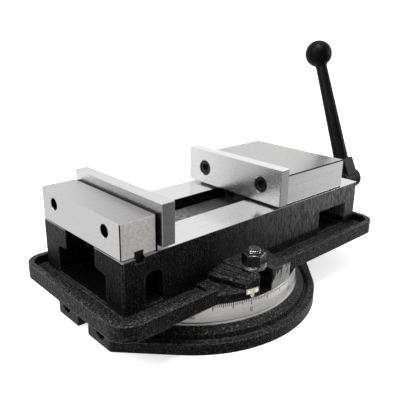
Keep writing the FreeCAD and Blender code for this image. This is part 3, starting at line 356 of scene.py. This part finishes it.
def bed_material():
    """Painted casting with ground ways, and a lug face turned bare together with the ring; the flanks are
    painted paler in streaks towards the crank as a painted sheen, and the tunnel is painted nearly black as
    painted shade.
    """
    shader = Shader("bed_paint_and_ground_ways")
    paint = paint_layers(shader)
    x, y, z = shader.axes()
    lines, bands = ground_marks(shader, 0)
    streaks = shader.noise(1.0, 3.0, 0.6, shader.stretched((420.0, 420.0, 110.0)))
    flank = both(shader, shader.math("LESS_THAN", shader.math("ABSOLUTE", y), FLANK_Y),
                 shader.math("GREATER_THAN", z, TRAY_RIM_Z))
    # Painted shade: the tunnel's walls are painted nearly black.
    tunnel_shade = both(shader, shader.math("LESS_THAN", shader.math("ABSOLUTE", y), TUNNEL_HALF_W),
                  shader.math("LESS_THAN", z, BED_TOP - 0.0006))
    tunnel_shade = both(shader, tunnel_shade, shader.math("GREATER_THAN", x, BED_X0 + 0.001))
    # Painted sheen: the flanks are painted paler in streaks towards the crank.
    painted_sheen = both(shader, shader.remap(x, *PAINTED_SHEEN_X), shader.remap(streaks, 0.36, 0.62, 0.15, 1.0))
    painted_sheen = both(shader, flank, painted_sheen)
    paint["color"] = shader.mix(painted_sheen, paint["color"], grey(0.11, -0.01))
    paint["color"] = shader.mix(tunnel_shade, paint["color"], grey(0.0012))
    paint["specular"] = shader.blend(tunnel_shade, paint["specular"], 0.08)
    strip = both(shader, shader.math("GREATER_THAN", z, JAW_SIDE_STRIP_Z),
                 shader.math("LESS_THAN", x, REBATE_X))
    strip = both(shader, strip, shader.math("GREATER_THAN", shader.math("ABSOLUTE", y), JAW_HALF_W))
    top = shader.math("MAXIMUM", strip, shader.math("GREATER_THAN", z, BED_TOP - 0.0004))
    iron = bare_iron(shader)
    ragged = shader.noise(1.0, 2.0, 0.6, shader.stretched((230.0, 230.0, 60.0)))
    face = shader.math("GREATER_THAN", radius_of(shader, x, y), RING_R - 0.0012)
    face = both(shader, face, shader.math("LESS_THAN", radius_of(shader, x, y), RING_R + 0.0004))
    face = both(shader, face, shader.math("GREATER_THAN", x, 0.0))
    face = both(shader, face, shader.math("LESS_THAN", x, LUG_BARE_X1))
    drip = shader.remap(ragged, 0.42, 0.62, LUG_BARE_TOP_Z, LUG_BARE_TOP_Z - 0.014)
    face = both(shader, face, shader.math("LESS_THAN", z, drip))
    ground = shader.mix(shader.remap(bands, 0.3, 0.7), grey(0.90), grey(0.80))
    over = {
        "color": shader.mix(top, iron["color"], ground),
        "rough": shader.blend(top, iron["rough"], shader.remap(lines, 0.3, 0.7, 0.13, 0.22)),
        "normal": shader.pick(top, iron["normal"], shader.bump(lines, 0.00001, 0.5)),
        "metallic": shader.blend(top, 0.4, 1.0),
    }
    layered(shader, shader.math("MAXIMUM", top, face), paint, over)
    return shader.material


def tick_marks(shader, x, y, z):
    """Degree lines cut in the ring: one each degree, longer at five and ten."""
    angle = shader.math("DEGREES", shader.math("ARCTAN2", y, x))
    angle = shader.math("ADD", angle, 720.0 - math.degrees(POINTER_ANGLE))
    marks = 0.0
    for step, length, half_width in TICKS:
        turn = shader.math("MODULO", shader.math("ADD", angle, step / 2), step)
        off = shader.math("ABSOLUTE", shader.math("SUBTRACT", turn, step / 2))
        line = shader.math("LESS_THAN", off, half_width)
        line = both(shader, line, shader.math("GREATER_THAN", z, RING_TOP_Z - length))
        marks = shader.math("MAXIMUM", marks, line)
    return marks


def base_material():
    """Painted base whose graduated ring and its lip are turned bright; the ring's top keeps the black paint
    as painted shade.
    """
    shader = Shader("base_paint_and_turned_ring")
    paint = paint_layers(shader, upward_highlight=0.45)
    x, y, z = shader.axes()
    radius = radius_of(shader, x, y)
    bright = both(shader, shader.math("GREATER_THAN", z, LIP_Z0),
                  shader.math("LESS_THAN", radius, RING_R + 0.0019))
    groove = both(shader, shader.math("GREATER_THAN", z, LIP_Z1), shader.math("LESS_THAN", z, RING_FOOT_Z))
    bright = both(shader, bright, shader.math("SUBTRACT", 1.0, groove))
    # Painted shade: only the outer wall is bright, the ring's top keeps the black paint.
    wall = shader.math("GREATER_THAN", radius, RING_R - 0.0004)
    bright = both(shader, bright, wall)
    cut = both(shader, wall, tick_marks(shader, x, y, z))
    bright = both(shader, bright, shader.math("SUBTRACT", 1.0, cut))
    lines = shader.noise(1.0, 2.0, 0.6, shader.stretched((30.0, 30.0, 7000.0)))
    bands = shader.noise(1.0, 2.0, 0.5, shader.stretched((22.0, 22.0, 500.0)))
    ring = {
        "color": shader.mix(shader.remap(bands, 0.3, 0.7), grey(0.72, 0.012), grey(0.66, 0.015)),
        "rough": shader.remap(lines, 0.3, 0.7, 0.20, 0.28),
        "normal": shader.bump(lines, 0.000008, 0.6),
        "metallic": 0.45,
    }
    layered(shader, bright, paint, ring)
    return shader.material


def bright_steel(name="turned_steel", value=0.6, rough_low=0.2, rough_high=0.34):
    shader = Shader(name)
    marks = shader.noise(1.0, 2.0, 0.6, shader.stretched((2500.0, 400.0, 400.0)))
    smudge = shader.noise(60.0, 3.0, 0.6)
    normal = shader.bump(marks, 0.00003, 0.5, shader.rounded_edges(0.0004))
    color = shader.mix(shader.remap(smudge, 0.35, 0.7), grey(value), grey(value * 0.82))
    rough = shader.remap(marks, 0.3, 0.7, rough_low, rough_high)
    shader.set(color=color, metallic=1.0, rough=rough, normal=normal)
    return shader.material


def black_oxide(name="black_oxide_steel", worn=0.05, pitch=0.0):
    """Blackened steel worn at its edges; with a pitch, an upright thread whose crests are painted lighter
    as painted highlights.
    """
    shader = Shader(name)
    grain = shader.noise(1400.0, 3.0, 0.6)
    smudge = shader.noise(180.0, 3.0, 0.6)
    edges = shader.rounded_edges(0.0007)
    normal = shader.bump(grain, 0.00006, 0.6, edges)
    color = shader.mix(shader.remap(smudge, 0.35, 0.65), grey(0.012), grey(0.05))
    color = shader.mix(shader.edge_mask(edges), color, grey(worn))
    if pitch:
        z = shader.axes()[2]
        thread = shader.math("PINGPONG", z, pitch / 2)
        thread = shader.math("DIVIDE", thread, pitch / 2)
        normal = shader.bump(thread, 0.0007, 1.0, normal)
        # Painted highlights: the thread crests are painted light grey.
        color = shader.mix(shader.remap(thread, 0.55, 0.9), color, grey(0.62))
    shader.set(color=color, metallic=0.9, rough=shader.remap(grain, 0.3, 0.7, 0.16, 0.3), normal=normal)
    return shader.material


def tinted_metal(name, color_a, color_b, rough):
    shader = Shader(name)
    smudge = shader.noise(240.0, 3.0, 0.6)
    marks = shader.noise(1.0, 2.0, 0.6, shader.stretched((900.0, 900.0, 5000.0)))
    normal = shader.bump(marks, 0.00003, 0.5, shader.rounded_edges(0.0003))
    color = shader.mix(shader.remap(smudge, 0.3, 0.7), color_a, color_b)
    shader.set(color=color, metallic=1.0, normal=normal,
               rough=shader.remap(marks, 0.3, 0.7, rough, rough + 0.12))
    return shader.material


def plated(name, color_a, color_b, rough):
    """Satin metal that scatters most of its light."""
    shader = Shader(name)
    smudge = shader.noise(420.0, 3.0, 0.6)
    normal = shader.bump(smudge, 0.0001, 0.6, shader.rounded_edges(0.0003))
    color = shader.mix(shader.remap(smudge, 0.3, 0.7), color_a, color_b)
    shader.set(color=color, metallic=0.3, normal=normal,
               rough=shader.remap(smudge, 0.3, 0.7, rough, rough + 0.1))
    return shader.material


def guard_paint():
    """Textured grey paint on the cover over the screw, painted darker towards the moving jaw as painted
    shadow.
    """
    shader = Shader("guard_textured_paint")
    lumps = shader.noise(260.0, 4.0, 0.65)
    fine = shader.noise(1300.0, 3.0, 0.6)
    normal = shader.bump(lumps, 0.0011, 0.8)
    normal = shader.bump(fine, 0.0003, 0.7, normal)
    x = shader.axes()[0]
    # Painted shadow: the guard darkens towards the moving jaw.
    jaw_shadow = shader.remap(x, *GUARD_SHADOW_X)
    light = shader.mix(jaw_shadow, grey(0.34), grey(0.012))
    color = shader.mix(shader.remap(lumps, 0.40, 0.62), grey(0.015), light)
    shader.set(color=color, rough=shader.remap(fine, 0.3, 0.7, 0.42, 0.6), normal=normal)
    return shader.material


# ------------------------------------------------------------------ carried-over CAD nodes
def dress(names, material):
    for name in names:
        mesh = nodes[name].data
        mesh.materials.clear()
        mesh.materials.append(material)


dress(["bed"], bed_material())
dress(["swivel_base"], base_material())
dress(["crank_handle"], smooth_black())
dress(["screw_guard"], guard_paint())
dress(["fixed_jaw"], fixed_jaw_steel())
dress(["moving_jaw"], moving_jaw_steel())
dress(["fixed_jaw_plate", "moving_jaw_plate"], plate_steel())
dress(["clamp_washers", "thrust_bearing", "lead_screw", "lock_segment", "pivot_pin"], bright_steel())
dress(["pointer_rivets"], plated("rivet_aluminium", grey(0.85), grey(0.95), 0.25))
dress(
    ["jaw_key", "fixed_jaw_bolts", "fixed_jaw_screws", "moving_jaw_screws",
     "screw_support_screws", "collar_screw", "jaw_set_screw", "guard_screws", "lock_collar"],
    black_oxide(),
)
dress(["clamp_nuts"], black_oxide("worn_nut", 0.6))
dress(["t_bolts"], black_oxide("stud_thread", 0.3, 0.002))
dress(["screw_support", "jaw_nut"], bright_steel("milled_iron", 0.32, 0.35, 0.5))
dress(["screw_bush"], tinted_metal("bronze", (0.45, 0.28, 0.12, 1), (0.6, 0.4, 0.2, 1), 0.25))
dress(["pointer_plate"], plated("pale_brass", (0.62, 0.53, 0.42, 1), (0.74, 0.65, 0.53, 1), 0.4))


# ------------------------------------------------------------------ numerals on the ring
# Each digit is one pen stroke on a grid two wide and four high.
DIGITS = {
    "0": ((0, 0), (2, 0), (2, 4), (0, 4), (0, 0)),
    "3": ((0, 4), (2, 4), (1, 2.4), (2, 1.6), (2, 0.4), (1, 0), (0, 0.3)),
    "6": ((2, 4), (0, 2.2), (0, 0), (2, 0), (2, 2), (0, 2)),
    "9": ((0, 0), (2, 1.8), (2, 4), (0, 4), (0, 2), (2, 2)),
}
DIGIT_UNIT = 0.0010
STROKE = 0.00036
NUMERAL_Z = 0.0262


def ring_point(along, height):
    """A point just proud of the ring's wall, by distance round it and height."""
    angle = along / RING_R
    radius = RING_R + 0.00004
    return Vector((radius * math.cos(angle), radius * math.sin(angle), height))


def draw_stroke(mesh, start, end):
    """Flat bar from one grid point to the next, laid on the ring's wall."""
    run = Vector(end) - Vector(start)
    run.normalize()
    side = Vector((-run.y, run.x)) * STROKE
    tip = run * STROKE
    corners = (start - tip + side, start - tip - side, end + tip - side, end + tip + side)
    mesh.faces.new([mesh.verts.new(ring_point(c.x, c.y)) for c in corners])


def make_numerals():
    """Figures every thirty degrees from the index plate's zero, rising to ninety and falling again."""
    mesh = bmesh.new()
    for index in range(12):
        value = str(30 * min(index % 6, 6 - index % 6))
        middle = RING_R * (POINTER_ANGLE + math.radians(30.0 * index))
        width = DIGIT_UNIT * (3 * len(value) - 1)
        for place, digit in enumerate(value):
            origin = Vector((middle - width / 2 + 3 * DIGIT_UNIT * place, NUMERAL_Z))
            stroke = [origin + Vector(p) * DIGIT_UNIT for p in DIGITS[digit]]
            for start, end in zip(stroke, stroke[1:]):
                draw_stroke(mesh, start, end)
    data = bpy.data.meshes.new("ring_numerals")
    mesh.to_mesh(data)
    mesh.free()
    numerals = bpy.data.objects.new("ring_numerals", data)
    bpy.context.collection.objects.link(numerals)
    shader = Shader("numeral_fill")
    wear = shader.noise(900.0, 3.0, 0.6)
    normal = shader.bump(wear, 0.00005, 0.5)
    shader.set(color=shader.mix(wear, grey(0.01), grey(0.06)), rough=0.6, normal=normal)
    data.materials.append(shader.material)
    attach(numerals, "swivel_base")


make_numerals()


# ------------------------------------------------------------------ stage
# brightness of the surroundings by heading, in degrees from the +X axis
SKY = (
    (-180.0, 0.90), (-150.0, 0.45), (-110.0, 0.16), (-62.0, 0.10), (-47.0, 0.14),
    (-38.0, 0.55), (-25.0, 0.9), (60.0, 0.88), (140.0, 0.92), (180.0, 0.92),
)


def make_floor():
    bpy.ops.mesh.primitive_plane_add(size=12.0, location=(0, 0, 0))
    floor = bpy.context.object
    floor.name = "stage_floor"
    material = bpy.data.materials.new("pale_floor")
    material.use_nodes = True
    surface = material.node_tree.nodes["Principled BSDF"]
    surface.inputs["Base Color"].default_value = (0.92, 0.92, 0.92, 1)
    surface.inputs["Roughness"].default_value = 0.6
    surface.inputs["Emission Color"].default_value = (1, 1, 1, 1)
    surface.inputs["Emission Strength"].default_value = 0.6
    floor.data.materials.append(material)
    floor.visible_glossy = False
    wall = floor.copy()
    wall.name = "stage_wall"
    bpy.context.collection.objects.link(wall)
    wall.location = (3.5, 3.9, 0.0)
    wall.rotation_euler = (math.radians(90.0), 0.0, math.radians(-42.0))


def area_light(name, place, aim, width, height, power):
    data = bpy.data.lights.new(name, "AREA")
    data.shape = "RECTANGLE"
    data.size = width
    data.size_y = height
    data.energy = power
    light = bpy.data.objects.new(name, data)
    bpy.context.collection.objects.link(light)
    light.location = place
    light.rotation_euler = (Vector(aim) - Vector(place)).to_track_quat("-Z", "Y").to_euler()
    return light


def make_light():
    """Soft light all round, weaker on the near side, so that the black paint keeps its depth."""
    world = bpy.data.worlds.new("studio")
    bpy.context.scene.world = world
    world.use_nodes = True
    tree = world.node_tree
    direction = tree.nodes.new("ShaderNodeTexCoord").outputs["Generated"]
    split = tree.nodes.new("ShaderNodeSeparateXYZ")
    tree.links.new(direction, split.inputs[0])
    heading = tree.nodes.new("ShaderNodeMath")
    heading.operation = "ARCTAN2"
    tree.links.new(split.outputs[1], heading.inputs[0])
    tree.links.new(split.outputs[0], heading.inputs[1])
    share = tree.nodes.new("ShaderNodeMapRange")
    tree.links.new(heading.outputs[0], share.inputs["Value"])
    share.inputs["From Min"].default_value = -math.pi
    share.inputs["From Max"].default_value = math.pi
    ramp = tree.nodes.new("ShaderNodeValToRGB")
    tree.links.new(share.outputs[0], ramp.inputs[0])
    stops = ramp.color_ramp.elements
    stops[0].position = 0.0
    stops[0].color = grey(SKY[0][1])
    stops[1].position = 1.0
    stops[1].color = grey(SKY[-1][1])
    for degrees, level in SKY[1:-1]:
        stop = stops.new((degrees + 180.0) / 360.0)
        stop.color = grey(level)
    rise = tree.nodes.new("ShaderNodeMapRange")
    tree.links.new(split.outputs[2], rise.inputs["Value"])
    rise.inputs["From Min"].default_value = 0.45
    rise.inputs["From Max"].default_value = 0.95
    overhead = tree.nodes.new("ShaderNodeMix")
    overhead.data_type = "RGBA"
    tree.links.new(rise.outputs[0], overhead.inputs["Factor"])
    tree.links.new(ramp.outputs[0], overhead.inputs[6])
    overhead.inputs[7].default_value = grey(0.7)
    tree.links.new(overhead.outputs[2], tree.nodes["Background"].inputs["Color"])
    area_light("left_light", (-1.0, 0.35, 0.95), (-0.05, 0.0, 0.05), 0.5, 0.5, 9.0)
    area_light("top_light", (0.0, -0.05, 1.4), (0.0, 0.0, 0.0), 0.6, 0.6, 20.0)
    area_light("right_light", (1.3, -0.75, 0.5), (0.1, -0.05, 0.06), 0.5, 0.5, 5.0)


def make_camera():
    """Camera at the photograph's angle: azimuth -42.5 and elevation 19.2 degrees."""
    azimuth = math.radians(-42.49)
    elevation = math.radians(19.21)
    roll = math.radians(0.61)
    distance = 0.6072
    target = Vector((0.0101, 0.0, 0.1054))
    back = Vector((math.sin(azimuth) * math.cos(elevation), -math.cos(azimuth) * math.cos(elevation),
                   math.sin(elevation)))
    right = Vector((math.cos(azimuth), math.sin(azimuth), 0.0))
    up = back.cross(right)
    rolled_right = right * math.cos(roll) + up * math.sin(roll)
    rolled_up = up * math.cos(roll) - right * math.sin(roll)
    turn = Matrix((rolled_right, rolled_up, back)).transposed()
    data = bpy.data.cameras.new("camera")
    data.sensor_width = 36.0
    data.lens = 36.0 * 524.0 / 400.0
    data.clip_end = 50.0
    camera = bpy.data.objects.new("camera", data)
    bpy.context.collection.objects.link(camera)
    camera.matrix_world = Matrix.Translation(target + back * distance) @ turn.to_4x4()
    bpy.context.scene.camera = camera


make_floor()
make_light()
make_camera()
bpy.context.scene.view_settings.view_transform = "Standard"
